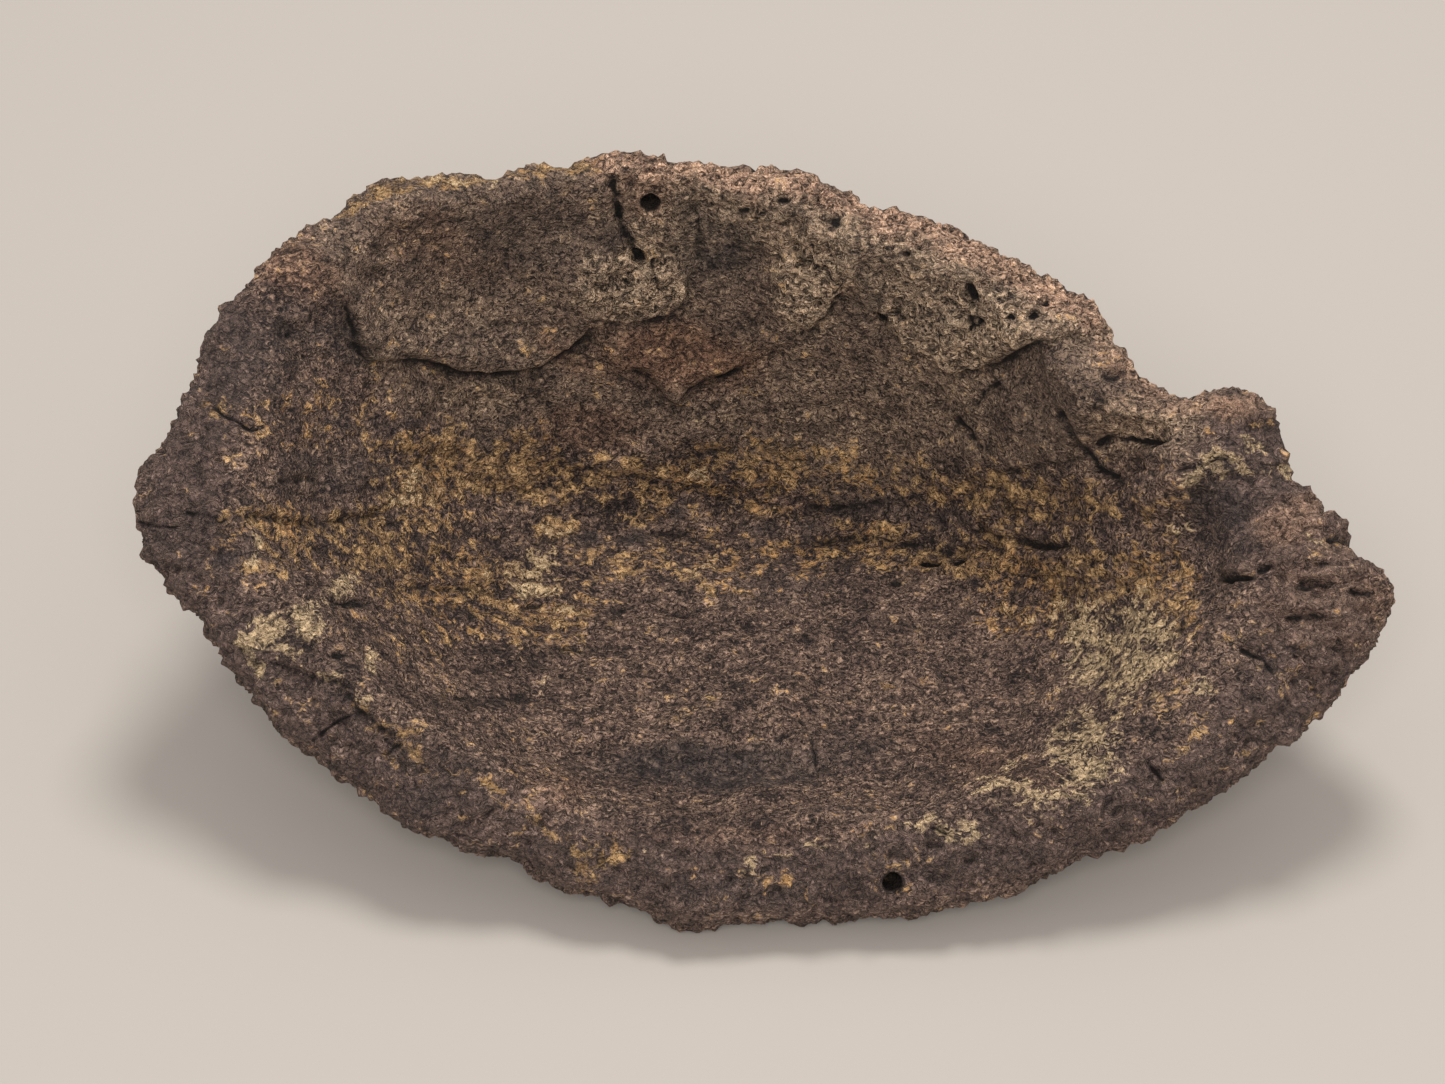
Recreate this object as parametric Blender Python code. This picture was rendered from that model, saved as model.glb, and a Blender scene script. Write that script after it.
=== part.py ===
# A fossil ankylosaur scute: one keeled plate of bone with a deep hollow under it.
# It lies on its keel and its near lip, with the hollow turned up and towards the front.
#
# The shape is worked out in millimetres on the plane of the rim: x along the keel from left to
# right, w across it from the near lip to the far rim, and h up out of the hollow. It is then
# leaned back onto the ground and brought to metres.
import math

import bmesh
import bpy
import numpy as np
from mathutils import Matrix, Vector, noise

MM = 0.001

# Driving sizes, in millimetres and degrees
HALF_LENGTH = 130.0      # from the middle of the hollow to either tip
LEAN = 30.0              # how far the rim plane leans back when the scute lies on its keel
RIM_HEIGHT = 55.0        # height of the middle of the rim plane above the ground
TIP_RISE = 19.0          # how far the tips curve up past the plane of the rim
HOLLOW_DEPTH = 60.0      # the hollow at the keel
KEEL_DEPTH = 77.0        # the outside at the keel
NEAR_SLOPE = math.tan(math.radians(LEAN))    # rise of the near flank: it lies level on the ground
FAR_SLOPE = 0.92         # rise of the far flank, per mm across
WORN_FLAT = 1.8          # how deep the keel and the near lip are worn flat where they rest

# The keel
KEEL_LINE = 22.0         # how far beyond the middle of the rim plane it runs
KEEL_BOW = 26.0          # how far it swings back towards the tips
KEEL_RIDGE = 2.5         # how far it stands proud of the two flanks
KEEL_RIDGE_WIDTH = 6.0
NEAR_FLANK = 102.0       # from the keel to the near lip, across
FLANK_SAG = 4.0          # how hollow the outside of the near flank is

# How the two flanks and the ends run into each other, inside and outside
VALLEY_ROUNDING = 10.0
KEEL_ROUNDING = 6.0
END_ROUNDING = 12.0
END_REACH = 1.13         # depth at which the ends would meet, as a share of the depth at the keel
FLOOR_SAG = 3.5          # how much deeper the middle of the hollow is

# The rounded lip, as shares of its width
LIP_ROUND = 0.42         # how far it falls from its crest to the outline
LIP_UNDERCUT = 0.15      # how far it draws in again below the outline

# Where the lip starts and ends, as shares of the way from the middle of the hollow, over the
# lip, to the middle of the outside
CREST_RING = 0.50
UNDER_RING = 0.68
LIP_RING = 0.5 * (CREST_RING + UNDER_RING)

# The surface: lumps all over as (size, height), and ribs that fan out over the right lobe
LUMPS = [(16.0, 1.5), (6.5, 1.1)]
RIB_HEIGHT = 1.2
RIBS_PER_RADIAN = 4.5
RIB_CENTRE = (78.0, -4.0)
LOBE_START = 98.0        # the ribs start here, and are full past the fade
LOBE_TOP = 20.0
RIB_FADE = 20.0

FORAMEN_RADIUS = 2.2     # the two round holes for blood vessels
FORAMEN_DEPTH = 7.0

SEGMENTS, RINGS = 320, 180
TRIANGLES = 9300         # what the fine form is thinned to, before the two holes are cut

# The outline seen square to the rim, (x, w), clockwise from the left tip
RIM = [
    (-130, -4), (-130, 8), (-124, 18), (-119, 31), (-115, 43), (-107, 54), (-102, 59),
    (-98, 65), (-91, 66), (-87, 72), (-80, 76), (-70, 77), (-52, 80), (-38, 84),
    (-30, 86), (-13, 83), (6, 82), (14, 81), (18, 78), (25, 74), (40, 71), (54, 63),
    (67, 55), (73, 47), (80, 36), (88, 29), (98, 26), (109, 25), (113, 18), (112, 10),
    (119, 4), (127, -6), (133, -17), (131, -25), (125, -33), (119, -41), (106, -52),
    (92, -61), (78, -69), (60, -75), (57, -77), (46, -79), (34, -82), (26, -81),
    (16, -81), (4, -81), (-4, -82), (-10, -85), (-20, -82), (-30, -80), (-38, -78),
    (-47, -75), (-49, -71), (-60, -72), (-68, -67), (-82, -58), (-90, -52),
    (-99, -46), (-105, -38), (-111, -28), (-119, -18), (-128, -11),
]

# Width of the lip round the rim, (degrees from the right lobe, width): broad at the tips and in
# front, thin on the far left
LIP = [(0, 30), (20, 16), (35, 12), (60, 12), (88, 10), (105, 6), (130, 6), (150, 12), (168, 20),
       (185, 23), (210, 20), (240, 18), (270, 19), (300, 19), (330, 24), (345, 31)]

# Lumps and dips of the hollow side: (x, w, half length, half width, turn in degrees, height)
SWELLINGS = [
    (-12, -49, 40, 8, 0, -2.6),      # trough behind the near lip
    (104, 23, 9, 6, 10, 3.5),        # knob where the far rim meets the right lobe
    (84, 18, 14, 3, -5, -2.2),       # groove in front of the knob
    (99, 10, 13, 3, 10, 1.6),        # crust between the knob and the right lobe
    (93, -3, 7, 13, 0, -3.0),        # dip inside the right lobe
    (-99, 43, 8, 7, 0, -3.0),        # recess inside the left shoulder
    (-108, 2, 14, 20, 0, 2.0),       # swollen left tip
    (60, -58, 30, 7, -18, 1.8),      # thick stretch of the near lip
    (-72, -48, 24, 6, -38, 2.0),     # ridge inside the lower left lip
    (-29, 62, 10, 6, 0, 1.2),        # spongy lobe under the far hole
    (9, 61, 6, 8, 0, 1.6),           # spongy plate to its right
    (46, 50, 17, 8, -20, 1.6),       # broad spongy plate below the right part of the far rim
]

# Where a layer of the bone has flaked off, its edge runs along these points, (x, w)
FAR_LAYER_EDGE = [(-96, 34), (-71, 44), (-53, 44), (-36, 53), (-28, 47), (-17, 41), (-2, 49),
                  (12, 53), (20, 58), (29, 52), (42, 42), (61, 41), (76, 43)]
NEAR_LAYER_EDGE = [(-96, 2), (-75, 8), (-41, 12), (-12, 15), (20, 13), (55, 7), (86, 0)]
LAYER_THICKNESS = 1.5
LAYER_STEP = 1.2         # how far across the step at its edge takes
LAYER_FADE = 14.0        # how far from its edge the layer has thinned away
LAYER_END = 100.0        # how far towards the tips the layers reach
LAYER_TAPER = 20.0

# The two holes: a point on the surface, from the middle of the footprint, and the way out of it
FORAMINA = [
    ((-24.0, 62.2, 88.8), (0.0, -1.0, 0.2)),
    ((27.2, -70.6, 14.8), (0.1, -0.85, 0.5)),
]


def ramp(value, start, length):
    """0 up to start, 1 from start + length on, and straight between them."""
    return np.clip((value - start) / length, 0.0, 1.0)


def smooth_min(a, b, rounding):
    """The lesser of two surfaces, with the crease between them rounded over that depth."""
    mix = np.clip(0.5 + 0.5 * (b - a) / rounding, 0.0, 1.0)
    return b + (a - b) * mix - rounding * mix * (1.0 - mix)


def around(angle, angles, values, blur):
    """The value at angle of a closed run of values, averaged over blur degrees to either side."""
    turn = np.radians(np.arange(0.0, 360.0, 0.5))
    sampled = np.interp(turn, angles, values, period=2.0 * math.pi)
    window = np.hanning(int(4 * blur) + 3)
    window /= window.sum()
    smooth = np.convolve(np.tile(sampled, 3), window, "same")[len(turn):2 * len(turn)]
    return np.interp(angle, turn, smooth, period=2.0 * math.pi)


def rim_radius(angle, blur):
    """Distance from the middle of the hollow to the outline, in the direction of angle."""
    corners = np.array(RIM, float)
    return around(angle, np.arctan2(corners[:, 1], corners[:, 0]), np.hypot(*corners.T), blur)


def lip_width(angle):
    degrees, widths = np.transpose(LIP)
    return around(angle, np.radians(degrees), widths, 12.0)


def arch(x):
    """The rim is arched lengthways, so that both tips stand above its plane."""
    return TIP_RISE * np.abs(x / HALF_LENGTH) ** 2.3


def past_keel(x, w):
    """Distance across from the keel line, which bows away from the near lip in the middle."""
    return w - KEEL_LINE + KEEL_BOW * np.abs(x / HALF_LENGTH) ** 1.8


def hollow_depth(x, w, share):
    """Depth of the hollow. share is 0 in the middle and 1 at the crest of the lip."""
    across = past_keel(x, w)
    near = HOLLOW_DEPTH + NEAR_SLOPE * across
    far = HOLLOW_DEPTH - FAR_SLOPE * across
    ends = END_REACH * HOLLOW_DEPTH * (1.0 - share ** 2.1)
    valley = smooth_min(near, far, VALLEY_ROUNDING)
    return smooth_min(valley, ends, END_ROUNDING) + FLOOR_SAG * (1.0 - share ** 4)


def outside_depth(x, w, share):
    """Depth of the outside, with the keel on it. share is 0 in the middle and 1 under the lip."""
    across = past_keel(x, w)
    sag = np.sin(math.pi * np.clip(1.0 + across / NEAR_FLANK, 0.0, 1.0)) ** 2
    near = KEEL_DEPTH + NEAR_SLOPE * across - FLANK_SAG * sag
    far = KEEL_DEPTH - FAR_SLOPE * across
    ends = END_REACH * KEEL_DEPTH * (1.0 - share ** 2.8) ** 0.8
    ridge = KEEL_RIDGE * np.exp(-(across / KEEL_RIDGE_WIDTH) ** 2) * (1.0 - share ** 2)
    return smooth_min(smooth_min(near, far, KEEL_ROUNDING), ends, END_ROUNDING) + ridge


def scute_points(angle, ring):
    """(x, w, h) of the points of a ball, by their angle round it and their ring from 0 to 1."""
    lip = lip_width(angle)
    drop = LIP_ROUND * lip
    inside = np.clip(ring / CREST_RING, 0.0, 1.0)
    outside = np.clip((1.0 - ring) / (1.0 - UNDER_RING), 0.0, 1.0)
    turn = math.pi * ramp(ring, CREST_RING, UNDER_RING - CREST_RING)

    # The outline's corners are sharp at the lip only, and even out towards the middle
    share = np.where(ring < LIP_RING, inside, outside)
    soft_outline = rim_radius(angle, 25.0)
    radius = soft_outline + (rim_radius(angle, 1.5) - soft_outline) * share ** 6
    bulge = np.where(ring < LIP_RING, lip, LIP_UNDERCUT * lip)
    reach = (radius - bulge) * share + bulge * np.sin(turn)
    x = reach * np.cos(angle)
    w = reach * np.sin(angle)

    h = -drop * (1.0 - np.cos(turn))
    h = np.where(ring < CREST_RING, -hollow_depth(x, w, inside), h)
    h = np.where(ring > UNDER_RING, -np.maximum(outside_depth(x, w, outside), 2.0 * drop), h)
    return np.stack([x, w, h + arch(x)], axis=1)


def swelling(x, w):
    """Height that the lumps and dips add at the points of the hollow side."""
    height = np.zeros_like(x)
    for middle_x, middle_w, long, wide, turn, rise in SWELLINGS:
        cos, sin = math.cos(math.radians(turn)), math.sin(math.radians(turn))
        along = (x - middle_x) * cos + (w - middle_w) * sin
        across = (w - middle_w) * cos - (x - middle_x) * sin
        height += rise * np.exp(-((along / long) ** 2) - (across / wide) ** 2)
    return height


def layer(x, beyond_edge):
    """Height of a flaked layer: full just beyond its edge, thinning away from it and to the tips."""
    step = ramp(beyond_edge, 0.0, LAYER_STEP) * (1.0 - ramp(np.abs(x), LAYER_END - LAYER_TAPER, LAYER_TAPER))
    return LAYER_THICKNESS * step * np.exp(-(np.maximum(beyond_edge, 0.0) / LAYER_FADE) ** 2)


def relief(points, hollow_side):
    """How far each point moves out along its normal, in mm."""
    x, w = points[:, 0], points[:, 1]
    lumps = [height * np.array([noise.noise(point) for point in points / size]) for size, height in LUMPS]
    fan = np.arctan2(w - RIB_CENTRE[1], x - RIB_CENTRE[0])
    lobe = ramp(x, LOBE_START, RIB_FADE) * ramp(LOBE_TOP - w, 0.0, 0.5 * RIB_FADE)
    ribs = RIB_HEIGHT * lobe * np.cos(2.0 * math.pi * RIBS_PER_RADIAN * fan + 2.0 * lumps[0])
    far_layer = layer(x, w - np.interp(x, *np.transpose(FAR_LAYER_EDGE)))
    near_layer = layer(x, np.interp(x, *np.transpose(NEAR_LAYER_EDGE)) - w)
    return sum(lumps) + ribs + np.where(hollow_side, swelling(x, w) + far_layer + near_layer, 0.0)


def roughen(form, hollow_side):
    """Moves every point of the smooth form along its normal by the relief there."""
    form.normal_update()
    points = np.array([vert.co for vert in form.verts])
    for vert, height in zip(form.verts, relief(points, hollow_side)):
        vert.co += vert.normal * height


def rest_on_ground(points):
    """Leans the rim plane back and sets its middle at its height: (x, w, h) to (x, y, z)."""
    lean = math.radians(LEAN)
    x, w, h = points.T
    y = w * math.cos(lean) - h * math.sin(lean)
    z = w * math.sin(lean) + h * math.cos(lean) + RIM_HEIGHT
    return np.stack([x, y, z], axis=1)


def points_of(mesh):
    flat = np.empty(len(mesh.vertices) * 3, np.float32)
    mesh.vertices.foreach_get("co", flat)
    return flat.reshape(-1, 3).astype(float)


def move_points(mesh, points):
    mesh.vertices.foreach_set("co", points.astype(np.float32).ravel())
    mesh.update()


def shaped_form():
    """The fine form: a ball pressed into the shape of the scute, with its relief."""
    form = bmesh.new()
    bmesh.ops.create_uvsphere(form, u_segments=SEGMENTS, v_segments=RINGS, radius=1.0)
    ball = np.array([vert.co for vert in form.verts])
    angle = np.arctan2(ball[:, 1], ball[:, 0])
    ring = np.arccos(np.clip(ball[:, 2], -1.0, 1.0)) / math.pi
    for vert, place in zip(form.verts, scute_points(angle, ring)):
        vert.co = place
    for _ in range(5):
        bmesh.ops.smooth_vert(form, verts=form.verts, factor=0.5,
                              use_axis_x=True, use_axis_y=True, use_axis_z=True)
    roughen(form, ring < LIP_RING)
    mesh = bpy.data.meshes.new("fine form")
    form.to_mesh(mesh)
    form.free()
    move_points(mesh, rest_on_ground(points_of(mesh)) * MM)
    return mesh


def thinned(fine):
    """The same form with only as many triangles as its shape needs."""
    helper = bpy.data.objects.new("fine form", fine)
    bpy.context.scene.collection.objects.link(helper)
    thin = helper.modifiers.new("thin", "DECIMATE")
    thin.ratio = TRIANGLES / sum(len(face.vertices) - 2 for face in fine.polygons)
    bpy.context.view_layer.update()
    evaluated = helper.evaluated_get(bpy.context.evaluated_depsgraph_get())
    mesh = bpy.data.meshes.new_from_object(evaluated)
    bpy.data.objects.remove(helper)
    return mesh


def fossil_bone():
    """Dark purple-brown, dull fossil bone."""
    bone = bpy.data.materials.new("fossil bone")
    bone.use_nodes = True
    shader = bone.node_tree.nodes["Principled BSDF"]
    shader.inputs["Base Color"].default_value = (0.095, 0.066, 0.051, 1.0)
    shader.inputs["Roughness"].default_value = 0.85
    shader.inputs["Metallic"].default_value = 0.0
    return bone


def build_scute():
    """The scute on its worn flats, over the middle of its footprint."""
    mesh = thinned(shaped_form())
    points = points_of(mesh)
    ground = points[:, 2].min() + WORN_FLAT * MM
    points[:, 2] = np.maximum(points[:, 2], ground) - ground
    points[:, :2] -= (points[:, :2].min(axis=0) + points[:, :2].max(axis=0)) / 2.0
    move_points(mesh, points)
    mesh.materials.append(fossil_bone())
    scute = bpy.data.objects.new("scute", mesh)
    bpy.context.scene.collection.objects.link(scute)
    return scute


def bore(scute, name, place, way_out):
    """Cuts one round hole into the bone, square to the surface there."""
    form = bmesh.new()
    turned = Vector(way_out).to_track_quat("Z", "Y").to_matrix().to_4x4()
    bmesh.ops.create_cone(form, cap_ends=True, segments=12, radius1=FORAMEN_RADIUS * MM,
                          radius2=FORAMEN_RADIUS * MM, depth=2.0 * FORAMEN_DEPTH * MM,
                          matrix=Matrix.Translation(Vector(place) * MM) @ turned)
    mesh = bpy.data.meshes.new(name)
    form.to_mesh(mesh)
    form.free()
    cutter = bpy.data.objects.new(name, mesh)
    bpy.context.scene.collection.objects.link(cutter)
    cutter.hide_render = True
    cutter.display_type = "WIRE"
    cut = scute.modifiers.new(name, "BOOLEAN")
    cut.operation = "DIFFERENCE"
    cut.object = cutter


for old in list(bpy.data.objects):
    bpy.data.objects.remove(old)
fossil_scute = build_scute()
for number, (hole_place, hole_way_out) in enumerate(FORAMINA, 1):
    bore(fossil_scute, f"foramen {number}", hole_place, hole_way_out)
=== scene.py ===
import itertools
import math

import bmesh
import bpy
import numpy as np
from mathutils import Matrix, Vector


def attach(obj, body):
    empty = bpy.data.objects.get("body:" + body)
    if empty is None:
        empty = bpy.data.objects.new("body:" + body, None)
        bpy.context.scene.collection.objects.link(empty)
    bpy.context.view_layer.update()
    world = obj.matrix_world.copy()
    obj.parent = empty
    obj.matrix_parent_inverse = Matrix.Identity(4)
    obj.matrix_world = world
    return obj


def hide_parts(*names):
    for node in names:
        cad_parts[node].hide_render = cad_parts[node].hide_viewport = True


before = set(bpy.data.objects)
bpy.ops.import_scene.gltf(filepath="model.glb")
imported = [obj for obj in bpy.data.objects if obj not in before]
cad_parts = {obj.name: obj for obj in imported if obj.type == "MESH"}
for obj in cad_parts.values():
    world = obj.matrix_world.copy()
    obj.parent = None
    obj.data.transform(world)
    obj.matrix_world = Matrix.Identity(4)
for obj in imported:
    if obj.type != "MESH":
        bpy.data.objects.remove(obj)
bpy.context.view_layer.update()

mm = 0.001

# The photograph's view. Marks on the bone are placed by its pixels, as (across, down).
picture = {
    "width": 1445,
    "height": 1084,
    "focal": 4327.0,                       # in pixels
    "elevation": 43.0,
    "distance": 0.932,
    "target": (-0.0082, 0.002, 0.044),
}


def viewAxes():
    lift = math.radians(picture["elevation"])
    forward = np.array([0.0, math.cos(lift), -math.sin(lift)])
    up = np.array([0.0, math.sin(lift), math.cos(lift)])
    return np.array(picture["target"]) - picture["distance"] * forward, forward, up


def toPicture(points):
    # where points of the bone, in metres, show in the photograph
    eye, forward, up = viewAxes()
    ray = points - eye
    depth = ray @ forward
    across = picture["width"] / 2 + picture["focal"] * ray[:, 0] / depth
    down = picture["height"] / 2 - picture["focal"] * (ray @ up) / depth
    return np.stack([across, down], 1)


def makeCamera():
    data = bpy.data.cameras.new("camera")
    data.sensor_width = 36.0
    data.lens = picture["focal"] / picture["width"] * data.sensor_width
    data.clip_start = 0.05
    camera = bpy.data.objects.new("camera", data)
    camera.location = viewAxes()[0]
    camera.rotation_euler = (math.radians(90 - picture["elevation"]), 0, 0)
    bpy.context.scene.collection.objects.link(camera)
    bpy.context.scene.camera = camera


# Soft studio light and a plain pale floor
studio = {
    "lamps": {
        # name: watts, size in metres, place
        "key": (8.4, 0.40, (0.08, 0.32, 1.20)),
        "fill": (9.6, 0.7, (-0.05, -1.10, 1.10)),
    },
    "lampColour": (1.0, 0.965, 0.93),
    "worldColour": (1.0, 0.965, 0.93),
    "worldStrength": 0.53,
    "floorColour": (0.512, 0.475, 0.438),
    "floorSize": 6.0,
}


def makeStudio():
    world = bpy.data.worlds.new("studio")
    world.use_nodes = True
    background = world.node_tree.nodes["Background"]
    background.inputs["Color"].default_value = (*studio["worldColour"], 1)
    background.inputs["Strength"].default_value = studio["worldStrength"]
    bpy.context.scene.world = world
    bpy.context.scene.view_settings.view_transform = "Standard"

    for name, (power, size, where) in studio["lamps"].items():
        light = bpy.data.lights.new(name, "AREA")
        light.shape = "DISK"
        light.size = size
        light.energy = power
        light.color = studio["lampColour"]
        lamp = bpy.data.objects.new(name, light)
        lamp.location = where
        lamp.rotation_euler = (-lamp.location).to_track_quat("-Z", "Y").to_euler()
        bpy.context.scene.collection.objects.link(lamp)

    bm = bmesh.new()
    bmesh.ops.create_grid(bm, x_segments=1, y_segments=1, size=studio["floorSize"] / 2)
    mesh = bpy.data.meshes.new("floor")
    bm.to_mesh(mesh)
    bm.free()
    floor = bpy.data.objects.new("floor", mesh)
    bpy.context.scene.collection.objects.link(floor)
    paint = bpy.data.materials.new("floorPaint")
    paint.use_nodes = True
    shader = paint.node_tree.nodes["Principled BSDF"]
    shader.inputs["Base Color"].default_value = (*studio["floorColour"], 1)
    shader.inputs["Roughness"].default_value = 0.9
    shader.inputs["Specular IOR Level"].default_value = 0.15
    mesh.materials.append(paint)


# Noise for shaping the surface
noiseTable = np.random.default_rng(11).uniform(-1, 1, 8192)
pointTable = np.random.default_rng(12).uniform(0, 1, (8192, 3))
tilt = np.array([[0.80, 0.36, -0.48], [-0.60, 0.48, -0.64], [0.0, 0.80, 0.60]])


def scatter(cell):
    key = (cell[:, 0] * 73856093) ^ (cell[:, 1] * 19349663) ^ (cell[:, 2] * 83492791)
    return key & 8191


def lumps(points, size, seed=0):
    # smooth noise from -1 to 1 with lumps about size across
    spot = (points @ tilt) / size + 37.3 * seed
    cell = np.floor(spot).astype(np.int64)
    part = spot - cell
    part = part * part * (3 - 2 * part)
    total = np.zeros(len(points))
    for corner in itertools.product((0, 1), repeat=3):
        weight = np.prod(np.where(corner, part, 1 - part), 1)
        total += weight * noiseTable[scatter(cell + corner)]
    return total


def roughNoise(points, size, octaves, seed=0, fade=0.5):
    total = np.zeros(len(points))
    for octave in range(octaves):
        total += fade ** octave * lumps(points, size / 2 ** octave, seed + octave)
    return total


def cells(points, size, seed=0):
    # distances to the nearest and second nearest of scattered points, in units of size
    spot = (points @ tilt) / size + 19.1 * seed
    cell = np.floor(spot).astype(np.int64)
    first = np.full(len(points), 9.0)
    second = np.full(len(points), 9.0)
    for step in itertools.product((-1, 0, 1), repeat=3):
        there = cell + step
        away = there + pointTable[scatter(there)] - spot
        far = np.sqrt((away * away).sum(1))
        second = np.minimum(second, np.maximum(first, far))
        first = np.minimum(first, far)
    return first, second


def ease(value, low, high):
    # 0 at low, 1 at high, smooth between; low may be above high
    share = np.clip((value - low) / (high - low), 0, 1)
    return share * share * (3 - 2 * share)


# Marks drawn on the photograph's pixels
def lineDistance(spots, line):
    # distance to a line, plus above it and minus below it, and how far the nearest end is
    best = np.full(len(spots), 1e9)
    side = np.zeros(len(spots))
    for (ax, ay), (bx, by) in zip(line, line[1:]):
        run = np.array([bx - ax, by - ay], float)
        rel = spots - (ax, ay)
        share = np.clip(rel @ run / (run @ run), 0, 1)
        away = rel - share[:, None] * run
        far = np.hypot(away[:, 0], away[:, 1])
        cross = run[1] * rel[:, 0] - run[0] * rel[:, 1]
        closer = far < best
        best = np.where(closer, far, best)
        side = np.where(closer, np.sign(cross), side)
    ends = [np.hypot(*(spots - end).T) for end in (line[0], line[-1])]
    return best * side, np.minimum(*ends)


def insideArea(spots, corners):
    # distance into a closed outline, less than 0 outside it
    inside = np.zeros(len(spots), bool)
    loop = list(corners) + [corners[0]]
    for (ax, ay), (bx, by) in zip(loop, loop[1:]):
        if ay != by:
            crosses = (spots[:, 1] > min(ay, by)) & (spots[:, 1] <= max(ay, by))
            at = ax + (spots[:, 1] - ay) / (by - ay) * (bx - ax)
            inside ^= crosses & (spots[:, 0] < at)
    far = np.abs(lineDistance(spots, loop)[0])
    return np.where(inside, far, -far)


def stain(spots, marks):
    # how strongly each point is stained, from 0 to 1
    clear = np.ones(len(spots))
    for x, y, wide, high, turn, strength in marks.get("spots", []):
        clear *= 1 - strength * ease(ellipse(spots, x, y, wide, high, turn), 1.35, 0.45)
    for line, wide, strength in marks.get("lines", []):
        far = np.abs(lineDistance(spots, line)[0])
        clear *= 1 - strength * ease(far / wide, 1.35, 0.45)
    for corners, soft, strength in marks.get("areas", []):
        clear *= 1 - strength * ease(insideArea(spots, corners), -soft, soft)
    return 1 - clear


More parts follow.
